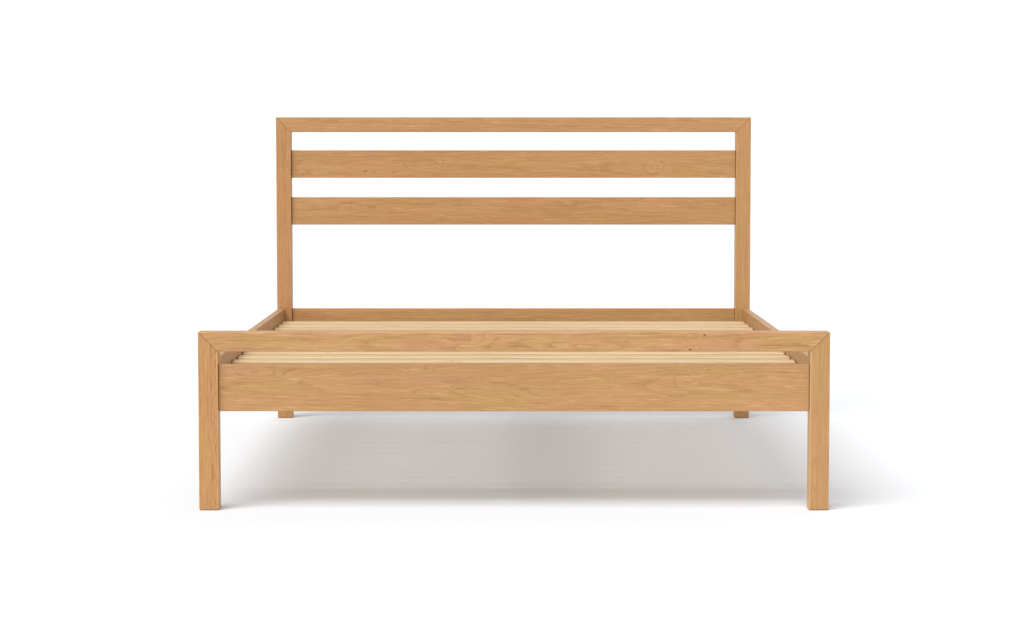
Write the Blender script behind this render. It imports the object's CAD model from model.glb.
"""The queen-size oak bed frame: camera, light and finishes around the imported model.

X runs across the bed, Y from the foot end to the head end and Z up. Everything is in metres.
"""

import math

import bpy
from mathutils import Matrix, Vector


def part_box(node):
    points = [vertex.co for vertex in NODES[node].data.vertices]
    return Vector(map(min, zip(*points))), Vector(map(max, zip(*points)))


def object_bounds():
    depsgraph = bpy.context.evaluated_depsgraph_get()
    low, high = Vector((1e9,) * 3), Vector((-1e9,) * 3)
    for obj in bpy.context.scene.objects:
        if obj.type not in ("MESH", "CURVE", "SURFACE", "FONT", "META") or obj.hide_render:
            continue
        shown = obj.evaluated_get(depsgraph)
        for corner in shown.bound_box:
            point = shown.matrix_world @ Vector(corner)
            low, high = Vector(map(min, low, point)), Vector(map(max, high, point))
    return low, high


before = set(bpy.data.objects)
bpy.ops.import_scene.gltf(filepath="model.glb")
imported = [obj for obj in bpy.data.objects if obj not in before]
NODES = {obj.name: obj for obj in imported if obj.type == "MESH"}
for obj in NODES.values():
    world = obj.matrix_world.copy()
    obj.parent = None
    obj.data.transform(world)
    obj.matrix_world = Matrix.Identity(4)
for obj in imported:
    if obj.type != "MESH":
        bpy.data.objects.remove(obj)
cad_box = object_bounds()
LOW, HIGH = cad_box
MM = 0.001
POST_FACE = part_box("headboard_post_right")[0].x  # inner face of a post, to each side of the middle
POST_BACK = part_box("side_rail_right")[1].y  # face of a post towards a side rail

# Camera: where it stands before the footboard, and the length of its lens for a 36 mm sensor
CAMERA_AHEAD = 6.194
CAMERA_HEIGHT = 0.933
CAMERA_SIDE = -0.005
CAMERA_DOWN = 3.982
LENS = 86.36

# Oak as it looks in even white light, from the deepest streak to the palest latewood
OAK_DARK = (0.220, 0.090, 0.026)
OAK_LOW = (0.372, 0.184, 0.063)
OAK_MID = (0.464, 0.248, 0.099)
OAK_HIGH = (0.568, 0.338, 0.148)

# The white room: its glow at the horizon and overhead, as sines of the elevation
WHITE_UP_TO, DIM_FROM = 0.14, 0.30
HORIZON, OVERHEAD = 1.05, 0.38


def rgba(colour):
    """A colour with full alpha."""
    return (*colour, 1.0)


# ---- Node graphs ----


class Graph:
    """A material and short calls that add nodes to its tree. Each call gives back an output socket."""

    def __init__(self, name):
        self.material = bpy.data.materials.new(name)
        self.material.use_nodes = True
        self.tree = self.material.node_tree
        self.tree.nodes.clear()

    def put(self, socket, value):
        """Links value to the socket if it is an output, or else sets it there."""
        if isinstance(value, bpy.types.NodeSocket):
            self.tree.links.new(value, socket)
        elif value is not None:
            socket.default_value = value

    def node(self, kind, inputs=(), **settings):
        """A node with its settings, and its inputs by name or number."""
        made = self.tree.nodes.new("ShaderNode" + kind)
        for key, value in settings.items():
            setattr(made, key, value)
        for key, value in dict(inputs).items():
            self.put(made.inputs[key], value)
        return made

    def math(self, operation, a, b=None, c=None, clamp=False):
        inputs = {i: v for i, v in enumerate((a, b, c)) if v is not None}
        return self.node("Math", inputs, operation=operation, use_clamp=clamp).outputs[0]

    def vector(self, operation, a, b=None, scale=None):
        made = self.node("VectorMath", operation=operation)
        self.put(made.inputs[0], a)
        if b is not None:
            self.put(made.inputs[1], b)
        if scale is not None:
            self.put(made.inputs["Scale"], scale)
        return made.outputs["Value" if operation in ("LENGTH", "DOT_PRODUCT") else "Vector"]

    def xyz(self, x, y, z):
        return self.node("CombineXYZ", {0: x, 1: y, 2: z}).outputs[0]

    def noise(self, vector, scale=1.0, detail=2.0, roughness=0.5, distortion=0.0, colour=False):
        made = self.node("TexNoise", {"Vector": vector, "Scale": scale, "Detail": detail,
                                      "Roughness": roughness, "Distortion": distortion})
        return made.outputs["Color" if colour else "Fac"]

    def smooth(self, value, low, high, to_low=0.0, to_high=1.0):
        """value taken smoothly from low..high to to_low..to_high, and held at the ends."""
        inputs = {0: value, 1: low, 2: high, 3: to_low, 4: to_high}
        return self.node("MapRange", inputs, interpolation_type="SMOOTHSTEP").outputs[0]

    def mix(self, factor, a, b, blend="MIX"):
        made = self.node("Mix", data_type="RGBA", blend_type=blend)
        for index, value in ((0, factor), (6, a), (7, b)):
            self.put(made.inputs[index], value)
        return made.outputs[2]

    def ramp(self, factor, stops):
        """Colours along factor, from a list of (place, colour)."""
        made = self.node("ValToRGB", {0: factor})
        elements = made.color_ramp.elements
        while len(elements) < len(stops):
            elements.new(0.5)
        for element, (place, colour) in zip(elements, stops):
            element.position = place
            element.color = rgba(colour)
        return made.outputs[0]

    def bump(self, height, strength, distance):
        inputs = {"Strength": strength, "Distance": distance, "Height": height}
        return self.node("Bump", inputs).outputs[0]

    def finish(self, **sockets):
        """Ends the graph in a Principled shader, with its sockets named in lower case."""
        shader = self.node("BsdfPrincipled")
        by_name = {s.name.lower().replace(" ", "_"): s for s in shader.inputs}
        for key, value in sockets.items():
            self.put(by_name[key], value)
        output = self.node("OutputMaterial")
        self.tree.links.new(shader.outputs[0], output.inputs[0])
        return self.material


def edge_mask(g, radius, sharp=0.97, soft=0.80):
    """1 on the edges of a piece, 0 on its faces, from how a rounded normal leans off the true one."""
    rounded = g.node("Bevel", {"Radius": radius}, samples=4).outputs[0]
    true = g.node("NewGeometry").outputs["Normal"]
    return g.smooth(g.vector("DOT_PRODUCT", rounded, true), soft, sharp, 1.0, 0.0)


# ---- Wood ----

KNOT_WOBBLE = (0.030, 0.012, 0.0)  # how far the swirl round a knot strays, along and across the grain
AXES = {"X": (0, 2, 1), "Y": (1, 2, 0), "Z": (2, 0, 1), "X_FLAT": (0, 1, 2)}


def grain_frame(g, along, low, high):
    """Coordinates from the piece's middle: U along the grain, V across its face and W through it."""
    place = g.node("TexCoord").outputs["Object"]
    middle = (low + high) / 2
    split = g.node("SeparateXYZ", {0: g.vector("SUBTRACT", place, tuple(middle))}).outputs
    u, v, w = AXES[along]
    half = (high - low) / 2
    return (split[u], split[v], split[w]), (half[u], half[v], half[w])


def stretched(g, uvw, seed, along, across):
    """The grain coordinates scaled along and across the grain, moved by a seed."""
    u, v, w = uvw
    scaled = g.vector("MULTIPLY", g.xyz(u, v, w), (along, across, across))
    return g.vector("ADD", scaled, (seed * 7.31, seed * 3.17, seed * 5.73))


def knot_fields(g, uvw, seed, knots):
    """The swirl that the knots give the rings, how near a knot is, and the darkness of the cores."""
    swirl, close, core = 0.0, 0.0, 0.0
    wobble = g.noise(stretched(g, uvw, seed + 8, 28.0, 75.0), detail=3.0, colour=True)
    wobble = g.vector("MULTIPLY", g.vector("SUBTRACT", wobble, (0.5, 0.5, 0.5)), KNOT_WOBBLE)
    place = g.xyz(uvw[0], uvw[1], 0.0)
    bent = g.vector("ADD", place, wobble)
    for u0, v0, lift, length, height, radius in knots:
        away = g.vector("SUBTRACT", bent, (u0, v0, 0.0))
        far = g.vector("LENGTH", g.vector("MULTIPLY", away, (1 / length, 1 / height, 0.0)))
        bell = g.math("EXPONENT", g.math("MULTIPLY", g.math("MULTIPLY", far, far), -1.0))
        swirl = g.math("MULTIPLY_ADD", bell, lift, swirl)
        close = g.math("MAXIMUM", bell, close)
        if radius:
            away = g.vector("SUBTRACT", place, (u0, v0, 0.0))
            near = g.vector("LENGTH", g.vector("MULTIPLY", away, (0.6, 1.0, 0.0)))
            core = g.math("MAXIMUM", g.smooth(near, radius * 0.5, radius * 1.3, 1.0, 0.0), core)
    return swirl, close, core


def ring_field(g, uvw, seed, wood, swirl):
    """Place within a growth ring, from 0 at its start to 1 at its end."""
    slow = g.noise(stretched(g, uvw, seed, 1.6, 7.0), detail=2.0, colour=True)
    fine = g.noise(stretched(g, uvw, seed + 0.5, 9.0, 36.0), detail=2.0, colour=True)
    slow = g.vector("MULTIPLY", g.vector("SUBTRACT", slow, (0.5, 0.5, 0.5)), (wood["wander"],) * 3)
    fine = g.vector("MULTIPLY", g.vector("SUBTRACT", fine, (0.5, 0.5, 0.5)), (wood["ripple"],) * 3)
    across = g.math("SUBTRACT", uvw[1], wood["pith"][0])
    through = g.math("MULTIPLY_ADD", uvw[0], wood["slope"], g.math("SUBTRACT", uvw[2], wood["pith"][1]))
    bent = g.vector("ADD", g.vector("ADD", g.xyz(0.0, across, through), slow), fine)
    bent = g.vector("MULTIPLY", bent, (0.0, 1.0, 1.0))
    radius = g.math("ADD", g.vector("LENGTH", bent), swirl)
    return g.math("FRACT", g.math("DIVIDE", radius, wood["ring"]))


def inner_edge(g):
    """1 along the edge of a post that faces the middle of the bed."""
    x = g.math("ABSOLUTE", g.node("SeparateXYZ", {0: g.node("TexCoord").outputs["Object"]}).outputs[0])
    return g.smooth(x, POST_FACE + 1.5 * MM, POST_FACE + 4.0 * MM, 1.0, 0.0)


def arris_mask(g, uvw, half, wide=3.2 * MM):
    """1 on the long eased edges, 0 on the faces."""
    from_v = g.math("SUBTRACT", half[1], g.math("ABSOLUTE", uvw[1]))
    from_w = g.math("SUBTRACT", half[2], g.math("ABSOLUTE", uvw[2]))
    return g.smooth(g.math("MAXIMUM", from_v, from_w), wide * 0.25, wide, 1.0, 0.0)


OAK = {"ring": 2.8 * MM, "pith": (0.01, 0.085), "slope": 0.006, "wander": 0.013, "ripple": 0.0045,
       "knots": (), "edge": 0.12, "inner_edge": 0.0, "lively": 0.82,
       "tint": (1.0, 1.0, 1.0)}


MITRE_LINE = 0.34  # how dark the line along a mitre is, beside the joints at the ends of the rails


def joint_lines(g, node):
    """Up to 1 along the joints of an oak piece, where lacquer and dust have gathered."""
    x, y, z = g.node("SeparateXYZ", {0: g.node("TexCoord").outputs["Object"]}).outputs
    x = g.math("ABSOLUTE", x)
    if "_board_" in node or "_bottom_rail" in node:
        return g.smooth(x, POST_FACE - 2.2 * MM, POST_FACE - 0.6 * MM)
    if "side_rail" in node:
        return g.smooth(g.math("ABSOLUTE", y), POST_BACK - 2.2 * MM, POST_BACK - 0.6 * MM)
    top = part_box(node)[1].z
    off = g.math("ABSOLUTE", g.math("SUBTRACT", g.math("SUBTRACT", z, x), top - HIGH.x))
    inside = g.smooth(x, HIGH.x - 9 * MM, HIGH.x - 3 * MM, MITRE_LINE, 0.0)
    return g.math("MULTIPLY", g.smooth(off, 0.6 * MM, 1.4 * MM, 1.0, 0.0), inside)


def oak(node, along, seed, low, high, **changes):
    """Honey-brown oak under a satin clear lacquer."""
    wood = {**OAK, **changes}
    g = Graph("oak_" + node)
    uvw, half = grain_frame(g, along, low, high)
    swirl, close, core = knot_fields(g, uvw, seed, wood["knots"])
    ring = ring_field(g, uvw, seed, wood, swirl)
    early = g.smooth(ring, 0.0, 0.55, 1.0, 0.0)
    patches = g.smooth(g.noise(stretched(g, uvw, seed + 9, 22.0, 90.0), detail=1.0), 0.40, 0.62)
    shown = g.math("MULTIPLY_ADD", g.math("MULTIPLY", close, patches), 0.20, 0.13)
    figure = g.math("MULTIPLY", g.math("SUBTRACT", early, 0.35), shown)

    broad = g.noise(stretched(g, uvw, seed + 1, 1.3, 9.0), detail=2.0)
    bands = g.noise(stretched(g, uvw, seed + 2, 2.6, 70.0), detail=3.0, roughness=0.55)
    streaks = g.noise(stretched(g, uvw, seed + 3, 9.0, 210.0), detail=3.0, roughness=0.65)
    dashes = g.smooth(g.noise(stretched(g, uvw, seed + 4, 16.0, 240.0), detail=1.0), 0.60, 0.72)
    gleams = g.smooth(g.noise(stretched(g, uvw, seed + 11, 18.0, 260.0), detail=1.0), 0.58, 0.72)
    lines = g.noise(stretched(g, uvw, seed + 10, 22.0, 620.0), detail=2.0, roughness=0.6)
    fibre = g.noise(stretched(g, uvw, seed + 5, 60.0, 1400.0), detail=2.0, roughness=0.6)
    pores = g.smooth(g.noise(stretched(g, uvw, seed + 6, 70.0, 2200.0), detail=1.0), 0.56, 0.70)
    pores = g.math("MULTIPLY", pores, g.math("MULTIPLY_ADD", early, 0.75, 0.25))

    tone = 0.61
    for layer, middle, weight in ((broad, 0.5, 0.24), (bands, 0.5, 0.42), (streaks, 0.5, 0.50),
                                  (lines, 0.5, 0.34), (fibre, 0.5, 0.30), (figure, 0.0, -1.0),
                                  (dashes, 0.1, -0.16), (gleams, 0.1, 0.28), (pores, 0.1, -0.34)):
        weight *= wood["lively"]
        tone = g.math("ADD", tone, g.math("MULTIPLY", g.math("SUBTRACT", layer, middle), weight))
    arris = arris_mask(g, uvw, half)
    tone = g.math("MULTIPLY_ADD", arris, wood["edge"], tone)
    tone = g.math("MULTIPLY_ADD", inner_edge(g), wood["inner_edge"], tone)
    colour = g.ramp(tone, [(0.0, OAK_DARK), (0.38, OAK_LOW), (0.64, OAK_MID), (1.0, OAK_HIGH)])

    hue = g.noise(stretched(g, uvw, seed + 7, 4.0, 45.0), detail=2.0)
    colour = g.mix(g.smooth(hue, 0.45, 0.62), colour, rgba((1.015, 0.972, 1.030)), "MULTIPLY")
    colour = g.mix(g.smooth(hue, 0.55, 0.38), colour, rgba((0.985, 1.008, 0.938)), "MULTIPLY")
    colour = g.mix(1.0, colour, rgba(wood["tint"]), "MULTIPLY")
    colour = g.mix(core, colour, rgba((0.205, 0.080, 0.008)))
    colour = g.mix(joint_lines(g, node), colour, rgba((0.32, 0.22, 0.15)), "MULTIPLY")
    colour = end_grain(g, colour, along)

    rough = g.math("MULTIPLY_ADD", fibre, 0.10, 0.36)
    rough = g.math("MULTIPLY_ADD", pores, 0.16, rough)
    height = g.math("MULTIPLY_ADD", pores, -1.0, g.math("MULTIPLY", fibre, 0.35))
    return g.finish(base_color=colour, roughness=rough, normal=g.bump(height, 0.22, 0.25 * MM),
                    specular_ior_level=0.38)


def end_grain(g, colour, along):
    """Darkens the faces that the grain runs out of."""
    normal = g.node("NewGeometry").outputs["Normal"]
    axis = tuple(1.0 if i == AXES[along][0] else 0.0 for i in range(3))
    facing = g.math("ABSOLUTE", g.vector("DOT_PRODUCT", normal, axis))
    return g.mix(g.smooth(facing, 0.75, 0.95, 0.0, 0.55), colour, rgba((0.62, 0.52, 0.44)), "MULTIPLY")


def plain_wood(name, along, seed, low, high, pale, deep, knots=()):
    """Planed softwood or beech with no finish: pale rings, darker latewood lines, small knots."""
    wood = {"ring": 5.5 * MM, "pith": (0.004, -0.060), "slope": 0.010, "wander": 0.020, "ripple": 0.0015}
    g = Graph(name)
    uvw, half = grain_frame(g, along, low, high)
    swirl, _, core = knot_fields(g, uvw, seed, knots)
    ring = ring_field(g, uvw, seed, wood, swirl)
    late = g.math("POWER", ring, 3.0)
    bands = g.noise(stretched(g, uvw, seed + 2, 2.2, 60.0), detail=3.0)
    fibre = g.noise(stretched(g, uvw, seed + 5, 50.0, 1300.0), detail=2.0, roughness=0.6)
    tone = g.math("MULTIPLY_ADD", late, -0.42, 0.80)
    tone = g.math("MULTIPLY_ADD", g.math("SUBTRACT", bands, 0.5), 0.45, tone)
    tone = g.math("MULTIPLY_ADD", g.math("SUBTRACT", fibre, 0.5), 0.22, tone)
    tone = g.math("MULTIPLY_ADD", arris_mask(g, uvw, half), 0.16, tone)
    colour = g.ramp(tone, [(0.0, deep), (1.0, pale)])
    colour = g.mix(core, colour, rgba((0.200, 0.090, 0.040)))
    colour = end_grain(g, colour, along)
    rough = g.math("MULTIPLY_ADD", fibre, 0.18, 0.52)
    return g.finish(base_color=colour, roughness=rough, normal=g.bump(fibre, 0.25, 0.2 * MM),
                    specular_ior_level=0.30)


# ---- Metal, plastic and felt ----


def powder_coat():
    """Black powder coat with a fine orange-peel texture."""
    g = Graph("black_powder_coat")
    place = g.node("TexCoord").outputs["Object"]
    peel = g.noise(place, scale=900.0, detail=2.0)
    patches = g.noise(place, scale=30.0, detail=2.0)
    colour = g.mix(patches, rgba((0.022, 0.022, 0.024)), rgba((0.036, 0.036, 0.039)))
    rubbed = g.math("MULTIPLY", edge_mask(g, 0.8 * MM), g.smooth(patches, 0.35, 0.60, 0.25, 1.0))
    colour = g.mix(rubbed, colour, rgba((0.115, 0.113, 0.110)))
    rough = g.math("MULTIPLY_ADD", rubbed, -0.12, g.math("MULTIPLY_ADD", peel, 0.18, 0.40))
    return g.finish(base_color=colour, roughness=rough, normal=g.bump(peel, 0.35, 0.15 * MM),
                    specular_ior_level=0.5)


def zinc():
    """Bright zinc plating, a little blotched."""
    g = Graph("zinc_plate")
    place = g.node("TexCoord").outputs["Object"]
    blotch = g.noise(place, scale=160.0, detail=3.0)
    scratch = g.noise(g.vector("MULTIPLY", place, (900.0, 900.0, 120.0)), detail=2.0)
    colour = g.mix(blotch, rgba((0.56, 0.57, 0.58)), rgba((0.74, 0.74, 0.73)))
    colour = g.mix(edge_mask(g, 0.3 * MM), colour, rgba((0.84, 0.84, 0.83)))
    rough = g.math("ADD", g.math("MULTIPLY", blotch, 0.20), g.math("MULTIPLY_ADD", scratch, 0.12, 0.16))
    return g.finish(base_color=colour, roughness=rough, metallic=1.0,
                    normal=g.bump(scratch, 0.10, 0.05 * MM))


def nylon():
    """Matt dark brown moulded nylon."""
    g = Graph("brown_nylon")
    place = g.node("TexCoord").outputs["Object"]
    grain = g.noise(place, scale=1400.0, detail=2.0)
    cloud = g.noise(place, scale=45.0, detail=2.0)
    colour = g.mix(cloud, rgba((0.075, 0.052, 0.038)), rgba((0.098, 0.070, 0.052)))
    colour = g.mix(edge_mask(g, 0.5 * MM), colour, rgba((0.150, 0.115, 0.090)))
    rough = g.math("MULTIPLY_ADD", grain, 0.15, 0.48)
    return g.finish(base_color=colour, roughness=rough, normal=g.bump(grain, 0.30, 0.10 * MM))


def felt():
    """Pressed grey wool felt."""
    g = Graph("grey_felt")
    place = g.node("TexCoord").outputs["Object"]
    wool = g.noise(place, scale=1500.0, detail=4.0, roughness=0.7, distortion=1.5)
    tufts = g.noise(place, scale=260.0, detail=3.0, roughness=0.6)
    shade = g.math("MULTIPLY_ADD", wool, 0.6, g.math("MULTIPLY", tufts, 0.4))
    colour = g.ramp(shade, [(0.30, (0.070, 0.071, 0.075)), (0.70, (0.200, 0.201, 0.208))])
    return g.finish(base_color=colour, roughness=0.95, normal=g.bump(wool, 0.8, 0.4 * MM),
                    sheen_weight=0.4, sheen_roughness=0.5)


# ---- Dressing the frame ----


def wear(node, material):
    """Gives a CAD node one material."""
    mesh = NODES[node].data
    mesh.materials.clear()
    mesh.materials.append(material)


# Knots and swirls in the oak, from the middle of the piece: place along the grain and across it,
# how far the rings are pushed aside, the swirl's length and height, and the radius of a dark core
TOP_RAIL_KNOTS = (
    (0.482, 0.018, 0.0033, 0.020, 0.008, 0.0024),
    (0.445, -0.020, 0.0033, 0.022, 0.008, 0.0022),
    (0.455, 0.000, 0.0066, 0.016, 0.014, 0.0),
    (-0.120, 0.006, 0.0055, 0.070, 0.016, 0.0),
    (0.180, -0.012, -0.0044, 0.090, 0.014, 0.0),
)
LOWER_RAIL_KNOTS = (
    (0.490, 0.030, 0.0099, 0.022, 0.018, 0.0),
    (0.442, 0.040, -0.0077, 0.030, 0.022, 0.0),
    (-0.243, 0.045, 0.0066, 0.040, 0.014, 0.0),
    (-0.197, -0.006, 0.0055, 0.060, 0.016, 0.0),
    (-0.640, 0.034, 0.0066, 0.080, 0.018, 0.0),
    (0.130, -0.024, -0.0055, 0.110, 0.022, 0.0),
)
UPPER_BOARD_KNOTS = (
    (-0.693, -0.0285, 0.0033, 0.018, 0.008, 0.0022),
    (-0.500, -0.0225, 0.0033, 0.024, 0.008, 0.0024),
    (-0.397, -0.0205, 0.0066, 0.030, 0.014, 0.0),
    (0.477, -0.0135, 0.0066, 0.036, 0.016, 0.0),
    (-0.230, 0.004, 0.0055, 0.030, 0.012, 0.0),
)
LEG_SWIRL_PITCH = 0.055
# A column of wavy streaks down the inner edge of the left leg
LEFT_LEG_KNOTS = tuple((0.20 - LEG_SWIRL_PITCH * i, 0.017, 0.0026 * (-1) ** i, 0.032, 0.008, 0.0)
                       for i in range(8))
RIGHT_LEG_KNOTS = (
    (0.010, 0.004, 0.0020, 0.022, 0.008, 0.0),
    (-0.130, -0.012, 0.0020, 0.060, 0.010, 0.0),
)

OAK_MEMBERS = {
    "footboard_top_rail": ("X", {"lively": 1.02, "pith": (-0.006, 0.070), "slope": 0.010,
                                 "knots": TOP_RAIL_KNOTS}),
    "footboard_bottom_rail": ("X", {"pith": (0.010, 0.110), "slope": 0.014, "knots": LOWER_RAIL_KNOTS}),
    "footboard_leg_left": ("Z", {"lively": 1.05, "inner_edge": 0.60, "pith": (0.03, 0.06),
                                 "knots": LEFT_LEG_KNOTS, "tint": (1.0, 0.940, 0.860)}),
    "footboard_leg_right": ("Z", {"lively": 0.48, "inner_edge": 0.50, "pith": (-0.02, 0.07),
                                  "knots": RIGHT_LEG_KNOTS}),
    "headboard_top_rail": ("X", {"pith": (0.02, 0.075)}),
    "headboard_board_upper": ("X", {"pith": (-0.01, 0.10), "slope": 0.010, "knots": UPPER_BOARD_KNOTS}),
    "headboard_board_lower": ("X", {"pith": (0.015, 0.12)}),
    "headboard_bottom_rail": ("X", {"pith": (0.0, 0.10)}),
    "headboard_post_left": ("Z", {"pith": (0.025, 0.07), "tint": (0.99, 0.935, 0.930)}),
    "headboard_post_right": ("Z", {"pith": (-0.03, 0.06)}),
    "side_rail_left": ("Y", {"pith": (0.01, 0.10)}),
    "side_rail_right": ("Y", {"pith": (-0.01, -0.10)}),
}


def dress_oak():
    for seed, (node, (along, changes)) in enumerate(OAK_MEMBERS.items()):
        low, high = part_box(node)
        wear(node, oak(node, along, 1.0 + seed * 1.37, low, high, **changes))


PINE_PALE, PINE_DEEP = (0.70, 0.52, 0.31), (0.42, 0.235, 0.100)
BEECH_PALE, BEECH_DEEP = (0.60, 0.40, 0.22), (0.45, 0.26, 0.13)


def slat_knots(i):
    """Two small knots in every other slat, each in a different place."""
    if i % 2:
        return ()
    u = (i * 0.37) % 1.1 - 0.55
    v = (i * 0.013) % 0.036 - 0.018
    return ((u, v, 0.007, 0.045, 0.012, 0.0045), (u - 0.41, -v, 0.004, 0.030, 0.009, 0.0028))


def dress_base():
    """The softwood slats and ledgers, each with its own stretch of grain."""
    for i in range(1, 16):
        node = f"slat_{i:02d}"
        low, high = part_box(node)
        wear(node, plain_wood("pine_" + node, "X_FLAT", 20 + i * 1.71, low, high,
                              PINE_PALE, PINE_DEEP, slat_knots(i)))
    for i, node in enumerate(("ledger_left", "ledger_right")):
        low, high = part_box(node)
        wear(node, plain_wood("pine_" + node, "Y", 50 + i * 2.3, low, high, PINE_PALE, PINE_DEEP))
    for i, node in enumerate(("headboard_mitre_keys", "footboard_mitre_keys", "rail_dowels")):
        low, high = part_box(node)
        wear(node, plain_wood("beech_" + node, "X", 60 + i * 1.9, low, high, BEECH_PALE, BEECH_DEEP))


def dress_hardware():
    black, bright, brown, grey = powder_coat(), zinc(), nylon(), felt()
    for node in ("bracket_foot_left", "bracket_foot_right", "bracket_head_left", "bracket_head_right",
                 "centre_beam", "beam_hanger_foot", "beam_hanger_head"):
        wear(node, black)
    for node in ("bracket_bolts", "bracket_washers", "bracket_screws", "threaded_inserts",
                 "hanger_screws", "ledger_screws", "slat_screws"):
        wear(node, bright)
    for node in ("beam_cap_foot", "beam_cap_head", "foot_glides"):
        wear(node, brown)
    wear("beam_felt", grey)


# ---- Stage ----


def make_floor():
    g = Graph("floor")
    material = g.finish(base_color=rgba((0.780, 0.80, 0.825)), roughness=0.9, specular_ior_level=0.1)
    mesh = bpy.data.meshes.new("floor")
    far = 60.0
    mesh.from_pydata([(-far, -far, 0), (far, -far, 0), (far, far, 0), (-far, far, 0)], [], [(0, 1, 2, 3)])
    mesh.materials.append(material)
    floor = bpy.data.objects.new("floor", mesh)
    bpy.context.scene.collection.objects.link(floor)


def make_sun(name, towards, spread, strength):
    """A broad distant light that shines from the direction towards, spread in degrees."""
    lamp = bpy.data.lights.new(name, "SUN")
    lamp.angle = math.radians(spread)
    lamp.energy = strength
    obj = bpy.data.objects.new(name, lamp)
    bpy.context.scene.collection.objects.link(obj)
    obj.rotation_mode = "QUATERNION"
    obj.rotation_quaternion = (-Vector(towards)).to_track_quat("-Z", "Y")


def make_world():
    world = bpy.data.worlds.new("white_room")
    world.use_nodes = True
    tree = world.node_tree
    place = tree.nodes.new("ShaderNodeTexCoord").outputs["Generated"]
    split = tree.nodes.new("ShaderNodeSeparateXYZ")
    tree.links.new(place, split.inputs[0])
    fall = tree.nodes.new("ShaderNodeMapRange")
    fall.interpolation_type = "SMOOTHSTEP"
    tree.links.new(split.outputs[2], fall.inputs[0])
    for index, value in enumerate((WHITE_UP_TO, DIM_FROM, HORIZON, OVERHEAD), 1):
        fall.inputs[index].default_value = value
    background = tree.nodes["Background"]
    background.inputs["Color"].default_value = rgba((1.0, 1.0, 1.0))
    tree.links.new(fall.outputs[0], background.inputs["Strength"])
    bpy.context.scene.world = world


def make_camera():
    camera = bpy.data.objects.new("camera", bpy.data.cameras.new("camera"))
    bpy.context.scene.collection.objects.link(camera)
    camera.data.sensor_width = 36.0
    camera.data.lens = LENS
    camera.data.clip_end = 200.0
    camera.location = (CAMERA_SIDE, LOW.y - CAMERA_AHEAD, LOW.z + CAMERA_HEIGHT)
    camera.rotation_euler = (math.radians(90 - CAMERA_DOWN), 0.0, 0.0)
    bpy.context.scene.camera = camera


bpy.context.scene.view_settings.view_transform = "Standard"
make_camera()
make_world()
make_floor()
make_sun("key", (-0.35, -0.62, 1.0), 50.0, 3.15)
make_sun("fill", (0.5, 0.8, 1.0), 60.0, 0.5)
dress_oak()
dress_base()
dress_hardware()
